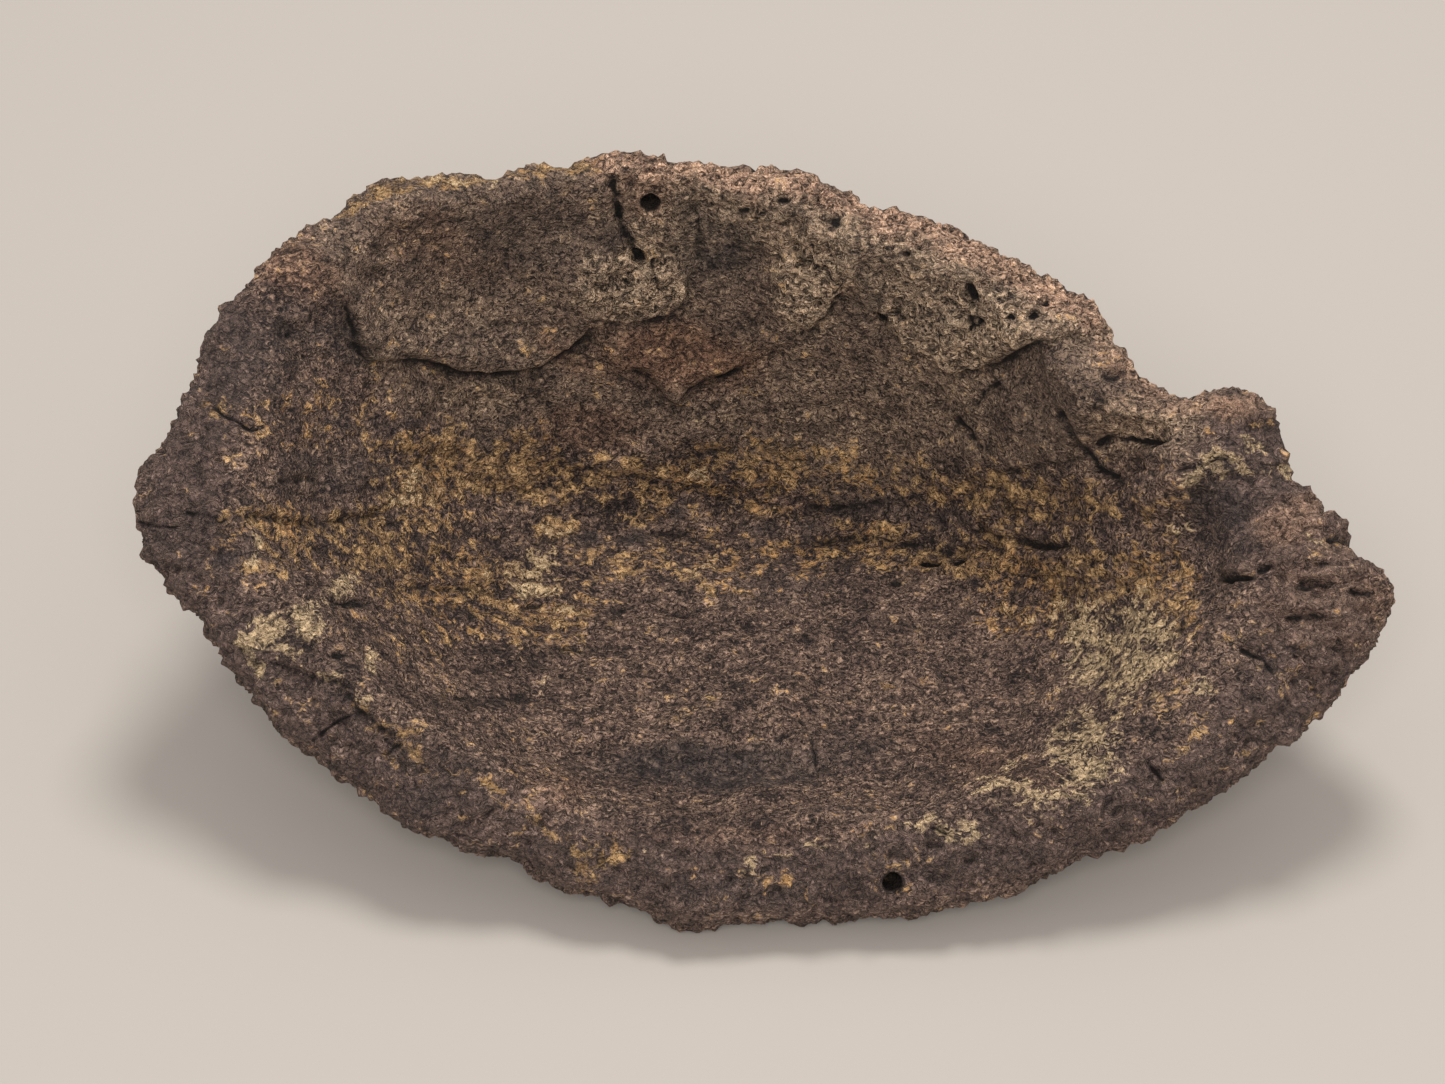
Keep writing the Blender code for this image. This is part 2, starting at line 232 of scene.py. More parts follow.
# Where each finish lies. spots: x, y, half width, half height, turn, strength.
# lines: points, half width, strength. areas: corners, softness of the edge, strength.
finishes = {
    "wall": {"areas": [([(330, 140), (300, 260), (350, 330), (385, 400), (480, 440), (620, 440),
                         (720, 455), (850, 500), (960, 470), (1080, 470), (1180, 440), (1290, 400),
                         (1130, 250), (800, 120)], 22, 1.0)]},
    "sponge": {"areas": [([(603, 130), (612, 200), (632, 255), (600, 285), (590, 312), (640, 320),
                           (690, 300), (700, 250), (770, 250), (785, 330), (812, 330), (845, 288),
                           (887, 326), (946, 372), (1040, 342), (1100, 342), (1140, 380),
                           (1160, 330), (1080, 220), (860, 120)], 9, 0.6),
                         ([(590, 258), (575, 300), (600, 318), (655, 312), (685, 290), (690, 262),
                           (650, 255)], 8, 1.0),
                         ([(775, 245), (785, 325), (812, 325), (845, 280), (850, 250)], 9, 1.0),
                         ([(885, 300), (900, 330), (950, 368), (1030, 340), (990, 290), (930, 280)],
                          10, 1.0)],
               "spots": [(480, 398, 70, 16, 0, 0.35), (1140, 425, 60, 30, 0, 0.55),
                         (440, 315, 50, 24, 0, 0.3), (900, 400, 110, 40, 0, 0.2)]},
    "pink": {"lines": [([(610, 150), (700, 166), (800, 178), (860, 200), (940, 224), (1010, 260),
                         (1090, 312)], 22, 1.0),
                       ([(1105, 345), (1150, 390), (1220, 415)], 13, 0.5)],
             "spots": [(640, 190, 30, 26, 0, 0.7), (1240, 406, 36, 14, 0, 0.7),
                       (1325, 590, 70, 70, 0, 0.22), (1290, 518, 38, 22, 30, 0.55)]},
    "rust": {"spots": [(680, 355, 90, 34, 0, 0.8), (590, 430, 60, 20, 0, 0.5),
                       (560, 350, 40, 14, -30, 0.5), (300, 265, 45, 28, -40, 0.6),
                       (430, 240, 60, 30, -20, 0.4), (700, 370, 60, 30, 0, 0.4),
                       (540, 800, 60, 25, 20, 0.4), (1050, 790, 160, 25, -20, 0.3),
                       (1330, 600, 60, 22, 5, 0.6), (1240, 520, 50, 20, 30, 0.4),
                       (720, 840, 180, 18, 0, 0.35), (1130, 420, 40, 26, 0, 0.4),
                       (1150, 350, 40, 30, 20, 0.5)]},
    "ochre": {"spots": [(300, 420, 110, 40, 0, 0.45), (425, 470, 75, 46, 0, 0.95),
                        (515, 460, 75, 38, 0, 0.9), (430, 565, 100, 60, -15, 0.75),
                        (560, 530, 45, 16, 0, 0.95), (640, 512, 40, 12, -5, 0.9),
                        (685, 468, 34, 11, -20, 0.95), (730, 466, 100, 30, 5, 0.7),
                        (600, 480, 90, 30, 0, 0.75), (650, 555, 110, 24, 0, 0.6),
                        (840, 545, 90, 16, 0, 0.75), (760, 500, 150, 26, 0, 0.45),
                        (900, 480, 90, 30, 0, 0.5), (530, 600, 85, 50, 0, 0.75),
                        (290, 540, 110, 40, 0, 0.65), (1010, 497, 110, 30, -5, 0.75),
                        (1070, 590, 120, 60, -10, 0.65), (960, 565, 110, 18, 0, 0.75),
                        (760, 575, 110, 22, 0, 0.4), (250, 405, 60, 10, -15, 0.5),
                        (390, 640, 90, 25, -10, 0.3), (1170, 590, 60, 60, 0, 0.5),
                        (700, 690, 70, 18, 0, 0.2), (1150, 700, 70, 50, 0, 0.4),
                        (600, 860, 40, 25, 20, 0.5), (760, 870, 60, 18, 0, 0.25),
                        (900, 870, 70, 20, 0, 0.25), (390, 180, 40, 14, 0, 0.5),
                        (850, 522, 24, 9, 0, 0.7), (930, 536, 80, 14, 0, 0.6), (1120, 510, 80, 22, 0, 0.5),
                        (1320, 545, 40, 12, 20, 0.4), (1265, 425, 20, 14, 0, 0.6)],
              "lines": [([(205, 518), (225, 508), (268, 512), (313, 519), (354, 515), (382, 506)],
                         3.5, 0.9),
                        ([(203, 398), (212, 412), (222, 420)], 4, 0.7),
                        ([(346, 682), (359, 705), (410, 743), (435, 763), (486, 779)], 12, 0.7),
                        ([(545, 815), (575, 850), (590, 885)], 9, 0.5),
                        ([(740, 578), (830, 566), (900, 562), (1000, 540)], 5, 0.6),
                        ([(340, 212), (380, 190), (440, 182), (500, 176), (560, 166), (600, 158)],
                         9, 0.8)]},
    "pale": {"spots": [(288, 630, 46, 30, 20, 0.85), (249, 651, 10, 28, 15, 0.85),
                       (250, 546, 7, 21, -10, 0.9), (340, 588, 24, 12, 30, 0.8),
                       (369, 661, 11, 8, 30, 0.8), (1085, 752, 46, 34, -20, 0.9),
                       (955, 828, 55, 18, -15, 0.6), (1118, 652, 60, 60, 0, 0.75),
                       (1105, 722, 36, 18, 0, 0.5), (1010, 800, 40, 18, -15, 0.5),
                       (536, 578, 52, 38, 0, 0.62), (420, 490, 55, 26, 0, 0.4),
                       (1090, 620, 120, 25, -10, 0.35), (650, 850, 25, 15, 0, 0.4),
                       (760, 860, 16, 12, 0, 0.5), (716, 424, 22, 12, 20, 0.4),
                       (1210, 688, 18, 12, 0, 0.7), (1165, 653, 12, 12, 0, 0.6),
                       (1250, 442, 16, 10, -20, 0.85), (1262, 410, 14, 8, 0, 0.6),
                       (1225, 462, 46, 11, -8, 0.8), (1175, 530, 16, 14, 0, 0.6),
                       (455, 180, 110, 9, -5, 0.45), (690, 467, 36, 9, -20, 0.6),
                       (560, 533, 34, 8, 0, 0.5), (1040, 785, 60, 26, -15, 0.5),
                       (835, 845, 60, 10, 0, 0.35), (545, 655, 9, 40, 0, 0.4),
                       (1350, 566, 8, 6, 0, 0.6), (700, 563, 26, 7, 30, 0.5)],
             "areas": [([(1175, 479), (1188, 466), (1220, 454), (1240, 461), (1252, 470),
                         (1279, 464), (1283, 472), (1240, 478), (1203, 485), (1188, 489)], 4, 1.0)],
             "lines": [([(313, 667), (342, 681), (356, 695), (374, 704)], 6, 0.8),
                       ([(1300, 525), (1325, 545), (1330, 575), (1318, 580)], 4, 0.6)]},
    # the first three grey spots and (770, 768) darken the trough behind the near lip: partly its grey
    # colour, partly painted shade
    "grey": {"spots": [(700, 766, 120, 22, 0, 1.0), (715, 768, 85, 16, 0, 0.9), (860, 745, 50, 18, 0, 0.5),
                       (540, 230, 90, 36, -5, 0.5), (330, 335, 60, 26, -25, 0.7),
                       (450, 245, 60, 30, -20, 0.3), (950, 315, 60, 25, 20, 0.5),
                       (690, 235, 24, 50, 0, 0.8), (1215, 520, 40, 34, 0, 0.9),
                       (1040, 400, 70, 50, 0, 0.25), (590, 541, 17, 11, 0, 1.0),
                       (634, 537, 18, 12, 0, 1.0), (676, 515, 17, 15, 0, 0.9),
                       (761, 526, 20, 10, 0, 0.9), (808, 528, 17, 11, 0, 0.9),
                       (860, 510, 40, 14, 0, 0.7), (930, 515, 60, 14, 0, 0.6),
                       (330, 470, 70, 26, 0, 0.6), (370, 425, 60, 12, 0, 0.5),
                       (227, 552, 22, 9, 0, 0.8), (622, 215, 12, 50, -20, 0.7),
                       (255, 365, 50, 50, 0, 0.5), (722, 245, 40, 44, 0, 1.0), (868, 296, 18, 26, 0, 0.8),
                       (860, 262, 80, 14, 12, 0.5), (945, 278, 40, 12, 20, 0.5),
                       (770, 768, 90, 18, 0, 0.9), (748, 888, 60, 16, 0, 0.4),
                       (776, 588, 60, 22, 0, 0.5), (160, 545, 40, 34, 0, 0.3),
                       (437, 790, 70, 20, 35, 0.3), (480, 335, 40, 20, 0, 0.3)]},
    "lip": {"lines": [([(215, 330), (190, 430), (180, 530), (215, 610), (290, 710), (400, 785),
                        (520, 835)], 48, 1.0),
                      ([(520, 835), (600, 862), (720, 876), (860, 868), (980, 855), (1090, 825),
                        (1190, 775), (1270, 710)], 40, 1.0),
                      ([(1250, 440), (1270, 500), (1310, 560), (1320, 620), (1290, 700)], 58, 1.0)]},
}


# Flaked layers stand above their line; cracks are cut along theirs.
brokenLayers = [
    # points, height in mm, how far up the layer reaches in pixels
    ([(390, 350), (465, 370), (514, 371), (537, 367), (565, 349), (600, 326)], 1.3, 45),
    ([(626, 370), (652, 381), (676, 404), (692, 388), (716, 379), (744, 365)], 1.4, 36),
    ([(575, 320), (629, 321), (667, 316), (682, 300), (690, 262)], 0.9, 45),
    ([(790, 320), (806, 329), (824, 312), (845, 286)], 1.1, 35),
    ([(850, 290), (887, 324), (913, 347), (946, 370), (999, 360), (1038, 339), (1100, 330)], 1.2, 50),
    ([(345, 309), (357, 331), (360, 348), (377, 360), (430, 362)], 0.9, 30),
    ([(668, 458), (700, 452), (738, 448)], 0.7, 24),
    ([(800, 498), (830, 508), (862, 503), (895, 497)], 0.6, 22),
    ([(985, 474), (1040, 462), (1092, 455)], 0.6, 24),
    ([(1163, 466), (1190, 464), (1214, 455), (1250, 460)], 1.3, 22),
    ([(205, 520), (236, 512), (328, 521), (384, 509)], 0.6, 16),
    ([(975, 530), (1000, 533), (1043, 540), (1080, 545)], 0.8, 20),
    ([(1215, 577), (1242, 575), (1268, 566)], 1.2, 24),
    ([(240, 655), (300, 668), (346, 682), (359, 705), (410, 743)], 0.8, 26),
    ([(640, 528), (676, 533), (700, 532)], 0.6, 18),
    ([(700, 540), (740, 546), (790, 541), (850, 536), (905, 541), (960, 549), (1010, 545)], 0.6, 26),
    ([(640, 750), (690, 746), (740, 751), (790, 748)], 0.35, 14),
    ([(470, 640), (520, 648), (580, 643), (640, 650)], 0.5, 16),
    ([(420, 690), (480, 700), (540, 697)], 0.5, 16),
    ([(860, 620), (930, 626), (1000, 618)], 0.5, 18),
    ([(380, 580), (430, 588), (500, 583)], 0.6, 18),
    ([(560, 462), (620, 470), (680, 480), (730, 487)], 0.6, 20),
]
cracks = [
    # points, depth in mm, half width in pixels
    ([(612, 178), (616, 194), (620, 217), (630, 240), (640, 262)], 1.4, 6),
    ([(651, 262), (654, 272), (657, 286)], 1.0, 3),
    ([(688, 180), (698, 214), (702, 250)], 0.5, 3.5),
    ([(212, 406), (228, 415), (245, 426), (259, 427)], 1.2, 3),
    ([(136, 522), (155, 524), (176, 526)], 0.9, 2.4),
    ([(187, 512), (216, 514)], 1.0, 3),
    ([(313, 743), (330, 729), (348, 718)], 0.9, 2.5),
    ([(392, 753), (401, 744)], 0.8, 2.5),
    ([(798, 722), (811, 737), (816, 763)], 0.7, 2.2),
    ([(1148, 763), (1162, 782)], 0.9, 2.5),
    ([(1245, 649), (1262, 659), (1274, 674)], 0.9, 2.8),
    ([(999, 382), (988, 392), (976, 405)], 0.8, 3.5),
    ([(1330, 538), (1353, 548)], 1.3, 3.5),
    ([(935, 828), (946, 834)], 0.8, 3),
    ([(1057, 414), (1079, 444), (1097, 466), (1119, 481)], 1.0, 4.5),
    ([(958, 420), (972, 438), (984, 446)], 0.9, 4),
    ([(345, 309), (357, 331), (362, 350)], 1.0, 4),
    ([(1300, 585), (1340, 588), (1372, 596)], 0.6, 3),
    ([(1290, 618), (1335, 620), (1380, 622)], 0.6, 3),
    ([(1285, 648), (1330, 650), (1362, 652)], 0.5, 3),
    ([(1310, 560), (1345, 566)], 0.5, 3),
    ([(1228, 590), (1232, 620), (1243, 648)], 0.4, 3.5),
]
pits = [
    # x, y, half width, half height, turn, depth in mm
    (640, 259, 9, 8, 0, 2.0), (970, 294, 7, 13, 15, 2.4), (974, 322, 12, 8, 0, 1.6),
    (1034, 316, 8, 6, 20, 1.8), (1010, 321, 6, 5, 0, 1.4), (882, 319, 8, 7, 0, 1.8),
    (927, 563, 12, 4, 0, 2.2), (957, 561, 10, 5, 8, 2.2), (895, 583, 9, 4, 0, 1.0),
    (1236, 577, 22, 4.5, 8, 1.3), (1264, 568, 9, 5, 15, 1.1), (287, 331, 16, 10, -40, 1.2),
    (783, 201, 8, 6, 0, 1.6), (835, 222, 9, 7, 0, 1.3), (843, 188, 12, 10, 0, 1.3),
    (1100, 405, 9, 12, 10, 1.0), (805, 258, 9, 7, 0, 1.2), (1113, 375, 12, 10, 0, 1.0),
    (745, 210, 7, 5, 0, 1.0), (905, 255, 7, 6, 0, 1.2), (1043, 544, 34, 5, -4, 0.9),
    (829, 507, 26, 6, 0, 0.7), (986, 531, 14, 4, 0, 0.6), (678, 533, 20, 4, 0, 0.6),
    (680, 615, 17, 3.5, 0, 0.9), (709, 449, 27, 7, 0, 0.6),
    (378, 182, 6, 5, 0, 0.9), (1090, 265, 5, 5, 0, 0.9), (1048, 300, 5, 5, 0, 1.1),
    (830, 603, 12, 4, 5, 0.9), (350, 603, 23, 5, -4, 1.2), (338, 656, 11, 4.5, 0, 1.3),
    (503, 462, 4, 8, 0, 0.7), (533, 607, 14, 3, 12, 0.8),
    (1104, 443, 12, 5, 25, 1.0), (1142, 441, 30, 4, -3, 1.1), (1178, 628, 6, 4, 0, 1.2),
    (1190, 498, 26, 8, 10, 0.7), (642, 376, 16, 7, -22, 1.2), (718, 378, 30, 7.5, 20, 1.2),
    (495, 377, 62, 7, -3, 0.8), (577, 346, 28, 7, 32, 0.8), (300, 480, 24, 6, 0, 0.8),
]
swells = [
    # x, y, half width, half height, turn, height in mm: broad lumps, and dips where it is below 0
    (800, 916, 190, 40, 0, 2.3), (500, 872, 80, 36, -20, -1.6), (1095, 876, 80, 40, 25, -1.7),
    (1040, 268, 80, 50, -30, -1.5), (900, 205, 80, 40, -20, -1.1), (745, 160, 90, 34, 0, -0.9),
    (1265, 398, 30, 30, 0, -0.5), (590, 541, 17, 11, 0, 0.9), (634, 537, 18, 12, 0, 0.9),
    (676, 513, 17, 15, 0, 0.9), (761, 525, 20, 10, 0, 0.8), (808, 527, 17, 11, 0, 0.8),
    (1215, 520, 42, 34, 0, -1.8), (712, 770, 100, 15, 0, -0.9), (1140, 452, 42, 6, 0, 1.0),
    (227, 552, 22, 9, 0, -0.7),
    (1340, 603, 44, 6, 5, 1.3), (1337, 635, 46, 6, 0, 1.3), (1330, 572, 34, 6, 8, 1.3),
    (1325, 664, 40, 6, 0, 1.2), (1346, 540, 22, 6, 25, 1.3), (1345, 619, 30, 4, 0, 0.7),
    (1345, 588, 30, 4, 5, 0.7), (1335, 650, 30, 4, 0, 0.7), (250, 546, 7, 21, -10, 0.6),
    (1150, 466, 50, 8, 0, -0.8), (716, 424, 22, 12, 20, 0.6), (1230, 466, 50, 10, 5, 0.8),
]

# The two round holes for blood vessels: the middle of each mouth and the way out, in millimetres
holes = {
    "mouths": [((-24.0, 62.2, 88.8), (0.0, -1.0, 0.2)), ((27.2, -70.6, 14.8), (0.1, -0.85, 0.5))],
    # painted shade inside each hole: how strong it is, the radius it fills and how deep it reaches
    "shadeStrength": (0.92, 0.8),
    "shaded": (2.1, 2.8),     # radius that is fully in painted shade, and radius where the painted shade ends
    "shadedTo": 7.8,
    "depth": 8.0,
    "keep": 2.9,
    "fade": 1.6,
}

# The relief, in millimetres, and the mesh
bone = {
    "voxel": 0.60 * mm,
    "smoothRounds": 12,
    "triangles": 194000,
    "wander": ((9.0, 9.0), (2.6, 6.0)),   # size in mm, and how far in pixels edges wander
    "markWander": 0.3,
    "weave": 0.20,
    "fibre": 0.36,
    "fine": 0.46,
    "flake": 0.50,
    "terrace": 0.55,
    "grain": 0.45,
    "teeth": 0.30,
    "knobs": 0.8,
    "lipLumps": 0.75,
    "rimBumps": 1.0,
    "jagged": 0.7,
    "spongePits": 1.6,
    "spongeCrumbs": 1.2,
    "outside": 0.8,
}


def applied(piece, kind, settings):
    modifier = piece.modifiers.new(kind.lower(), kind)
    for name, value in settings.items():
        setattr(modifier, name, value)
    depsgraph = bpy.context.evaluated_depsgraph_get()
    shaped = bpy.data.meshes.new_from_object(piece.evaluated_get(depsgraph),
                                             preserve_all_data_layers=True, depsgraph=depsgraph)
    old = piece.data
    piece.modifiers.clear()
    piece.data = shaped
    bpy.data.meshes.remove(old)


def copyOfNode(node, name):
    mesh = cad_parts[node].data.copy()
    mesh.materials.clear()
    bm = bmesh.new()
    bm.from_mesh(mesh)
    bmesh.ops.remove_doubles(bm, verts=bm.verts, dist=1e-6)
    bm.to_mesh(mesh)
    bm.free()
    piece = bpy.data.objects.new(name, mesh)
    bpy.context.scene.collection.objects.link(piece)
    return piece


def readPoints(mesh):
    points = np.empty(len(mesh.vertices) * 3)
    mesh.vertices.foreach_get("co", points)
    normals = np.empty(len(mesh.vertices) * 3)
    mesh.vertices.foreach_get("normal", normals)
    return points.reshape(-1, 3), normals.reshape(-1, 3)


def neighbourMean(mesh, values, rounds):
    pairs = np.empty(len(mesh.edges) * 2, int)
    mesh.edges.foreach_get("vertices", pairs)
    a, b = pairs[::2], pairs[1::2]
    count = len(mesh.vertices)
    valence = np.bincount(a, minlength=count) + np.bincount(b, minlength=count)
    columns = [column for column in values.T]
    for _ in range(rounds):
        columns = [0.5 * column + 0.5 * (np.bincount(a, column[b], count)
                                         + np.bincount(b, column[a], count)) / valence
                   for column in columns]
    return np.stack(columns, 1)


def awayFromHoles(at):
    # 0 at the mouths of the two holes, 1 well away from them
    clear = np.ones(len(at))
    for mouth, out in holes["mouths"]:
        out = np.array(out) / np.linalg.norm(out)
        rel = at - mouth
        along = np.clip(rel @ out, -holes["depth"], 0)
        far = np.linalg.norm(rel - along[:, None] * out, axis=1)
        clear *= ease(far, holes["keep"], holes["keep"] + holes["fade"])
    return clear


def saveAttribute(mesh, name, values):
    attribute = mesh.attributes.new(name, "FLOAT", "POINT")
    attribute.data.foreach_set("value", values.astype(np.float32))


def ellipse(spots, x, y, wide, high, turn):
    # 0 in the middle, 1 on the edge
    c, s = math.cos(math.radians(turn)), math.sin(math.radians(turn))
    rel = spots - (x, y)
    return np.hypot((rel[:, 0] * c - rel[:, 1] * s) / wide, (rel[:, 0] * s + rel[:, 1] * c) / high)


def closeTo(spots, line, reach):
    low = np.min(line, 0) - reach
    high = np.max(line, 0) + reach
    return np.flatnonzero(((spots > low) & (spots < high)).all(1))


def shapeBone(piece):
    mesh = piece.data
    points, normals = readPoints(mesh)
    flat = neighbourMean(mesh, normals, 20)
    flat /= np.linalg.norm(flat, axis=1)[:, None]
    at = points / mm

    # which side a point is on: seen in the photograph, or the outside of the plate
    eye, forward, up = viewAxes()
    toEye = eye - points
    toEye /= np.linalg.norm(toEye, axis=1)[:, None]
    facing = (flat * toEye).sum(1)
    seen = ease(facing, -0.12, 0.18)
    outside = 1 - seen

    exact = toPicture(points)
    wander = np.zeros_like(exact)
    for size, far in bone["wander"]:
        wander[:, 0] += far * lumps(at, size, 3)
        wander[:, 1] += far * lumps(at, size, 4)
    spots = exact + wander
    marks = exact + bone["markWander"] * wander
    front = np.flatnonzero(seen > 0)
    masks = {}
    for name, places in finishes.items():
        masks[name] = np.zeros(len(at))
        masks[name][front] = stain(spots[front], places) * seen[front]
    floorPart = seen * np.clip(1 - masks["wall"] - masks["lip"] - masks["sponge"], 0, 1)
    print("finishes placed")

    bend = np.stack([lumps(at, 2.4, seed) for seed in (61, 62, 63)], 1) * 0.7
    bent = at + bend
    ridges = 1 - np.abs(lumps(bent * (0.42, 1, 1), 1.5, 21)) * 2
    longRidges = 1 - np.abs(lumps(at * (0.34, 1, 1), 2.6, 22)) * 2
    weave = 1 - np.abs(lumps(bent * (0.7, 1, 1), 1.6, 23)) * 2
    teeth = 1 - np.abs(lumps(at, 2.1, 24)) * 3
    nearest = cells(at, 2.0, 31)[0]
    grains = 0.5 - 1.6 * nearest ** 2
    knobNear = cells(at, 6.0, 34)[0]
    knobs = ease(knobNear, 0.75, 0.1) - 0.3
    poreNear, poreNext = cells(bent, 1.9, 32)
    pores = ease(poreNext - poreNear, 0.34, 0.62) * ease(lumps(at, 3.5, 35), -0.9, 0.2)
    bigNear = cells(bent * (0.8, 1, 1), 4.6, 33)[0]
    bigPits = ease(bigNear, 0.42, 0.15)
    level = roughNoise(bent * (0.5, 1, 1), 6.5, 3, 46) * 3.2
    flakes = (np.floor(level) + ease(level - np.floor(level), 0.55, 1.0)) / 3.2
    fine = roughNoise(bent * (0.7, 1, 1), 2.6, 2, 47, 0.7)
    print("grain worked out")

    solid = 1 - masks["sponge"]
    height = bone["weave"] * weave * masks["wall"] * solid
    height += bone["fibre"] * (0.7 * ridges + 0.5 * longRidges) * floorPart
    height += bone["fine"] * fine * (1 - 0.5 * masks["grey"])
    height += bone["flake"] * flakes * (floorPart + 0.55 * masks["wall"] * solid * (1 - masks["grey"]))
    height += (bone["grain"] * grains + bone["teeth"] * teeth + bone["knobs"] * knobs
               + bone["lipLumps"] * roughNoise(at, 6.0, 3, 41, 0.6)) * masks["lip"]
    height += bone["rimBumps"] * (knobs + grains) * masks["pink"]
    rim = ease(np.abs(facing), 0.5, 0.1)
    height += bone["jagged"] * (roughNoise(at, 2.6, 2, 44, 0.8) + 0.5 * teeth) * rim
    height += bone["spongeCrumbs"] * roughNoise(at, 3.6, 2, 42, 0.7) * masks["sponge"]
    height -= (bone["spongePits"] * pores + 0.9 * bigPits - 0.4) * masks["sponge"]
    height += bone["outside"] * (roughNoise(at * (0.55, 1, 1), 6.0, 3, 43) - 0.8 * bigPits
                                 + 0.5 * grains + 0.6 * knobs + 0.3 * teeth) * outside

    # broken terraces along the valley of the keel
    band = ease(spots[:, 1], 425, 470) * ease(spots[:, 1], 660, 600) * floorPart
    step = spots[:, 1] / 27 + 1.3 * lumps(at * (0.3, 1, 1), 14, 51) + 0.4 * lumps(at, 4, 52)
    rise = step - np.floor(step)
    patch = ease(lumps(at * (0.4, 1, 1), 9, 53), -0.2, 0.3)
    height += bone["terrace"] * (rise ** 1.6 - 0.5) * band * patch
    # painted shade along the foot of each terrace step
    paintedShade = 0.35 * ease(rise, 0.0, 0.12) * ease(rise, 0.3, 0.12) * band * patch

    patchy = ease(lumps(at, 6.0, 71), -0.7, 0.3)
    for line, deep, reach in brokenLayers:
        pick = closeTo(marks, line, 3 * reach)
        away, end = lineDistance(marks[pick], line)
        taper = ease(end, 0, 22) * seen[pick]
        above = ease(away, -2.5, 3.0) * np.exp(-(np.clip(away, 0, None) / reach) ** 2)
        below = ease(away, 1.0, -4.0) * np.exp(-(np.clip(-away, 0, None) / (0.35 * reach)) ** 2)
        height[pick] += deep * (above - 0.75 * below) * taper
        # painted shadow under the lower edge of each flaked layer
        shadow = 0.5 * ease(away, 2.0, -2.5) * ease(away, -13, -4) * taper * patchy[pick]
        paintedShade[pick] = np.maximum(paintedShade[pick], shadow)
    for line, deep, wide in cracks:
        pick = closeTo(marks, line, 4 * wide)
        away, end = lineDistance(marks[pick], line)
        cut = np.exp(-(away / wide) ** 2) * seen[pick]
        height[pick] -= deep * cut
        # painted shade inside the crack
        paintedShade[pick] = np.maximum(paintedShade[pick], 0.8 * ease(cut, 0.2, 0.9) * min(1, deep))
    for x, y, wide, high, turn, deep in pits:
        pick = closeTo(marks, [(x, y)], 1.3 * max(wide, high))
        bowl = ease(ellipse(marks[pick], x, y, wide, high, turn), 1.2, 0.45) * seen[pick]
        height[pick] -= deep * bowl
        # painted shade in the pit
        paintedShade[pick] = np.maximum(paintedShade[pick], min(1, 0.55 * deep) * bowl)
    rimward = ease(facing, -0.85, -0.2)
    for x, y, wide, high, turn, tall in swells:
        pick = closeTo(exact, [(x, y)], 2.2 * max(wide, high))
        lump = np.exp(-ellipse(exact[pick], x, y, wide, high, turn) ** 2)
        height[pick] += tall * lump * rimward[pick]
    print("layers, cracks and pits cut")

    # it rests on worn flats, which stay as they are, and so do the two round holes
    worn = ease(at[:, 2], 0.4, 2.2) * awayFromHoles(at)
    moved = points + flat * (height * worn)[:, None] * mm
    moved[:, 2] = np.maximum(moved[:, 2], 0)
    mesh.vertices.foreach_set("co", moved.ravel())
    mesh.update()

    soft = neighbourMean(mesh, moved, 12)
    proud = ((moved - soft) * flat).sum(1) / mm
    for name, mask in masks.items():
        saveAttribute(mesh, name, mask)
    # painted shade in cracks, pits, terrace steps and under layer edges, for the material
    saveAttribute(mesh, "paintedShade", paintedShade)
    saveAttribute(mesh, "proud", np.clip(proud * 2.2, -1, 1))


def makeBone():
    piece = copyOfNode("scute", "fossilBone")
    applied(piece, "REMESH", {"mode": "VOXEL", "voxel_size": bone["voxel"], "adaptivity": 0.0})
    points, normals = readPoints(piece.data)
    loose = piece.vertex_groups.new(name="loose")
    for index, weight in enumerate(awayFromHoles(points / mm)):
        loose.add([index], float(weight), "REPLACE")
    applied(piece, "SMOOTH", {"factor": 0.5, "iterations": bone["smoothRounds"],
                              "vertex_group": "loose"})
    piece.vertex_groups.clear()
    print("fine mesh:", len(piece.data.vertices), "points")
    shapeBone(piece)
    triangles = sum(len(face.vertices) - 2 for face in piece.data.polygons)
    applied(piece, "DECIMATE", {"ratio": bone["triangles"] / triangles})
    piece.data.shade_smooth()
    print("bone mesh:", len(piece.data.polygons), "faces")
    return piece


# Shader maths: a socket that takes part in Python expressions
class Value:
    def __init__(self, graph, socket):
        self.graph = graph
        self.socket = socket

    def maths(self, operation, first, second=0.0, clamp=False):
        return self.graph.node("ShaderNodeMath", {"operation": operation, "use_clamp": clamp},
                               {0: first, 1: second})

    def __add__(self, other):
        return self.maths("ADD", self, other)

    def __sub__(self, other):
        return self.maths("SUBTRACT", self, other)

    def __rsub__(self, other):
        return self.maths("SUBTRACT", other, self)

    def __mul__(self, other):
        return self.maths("MULTIPLY", self, other)

    def __abs__(self):
        return self.maths("ABSOLUTE", self)

    __radd__ = __add__
    __rmul__ = __mul__

    def within(self):
        return self.maths("ADD", self, 0.0, clamp=True)

    def ramp(self, low, high):
        # 0 at low, 1 at high, smooth between
        return self.graph.node("ShaderNodeMapRange", {"interpolation_type": "SMOOTHSTEP"},
                               {"Value": self, "From Min": low, "From Max": high})


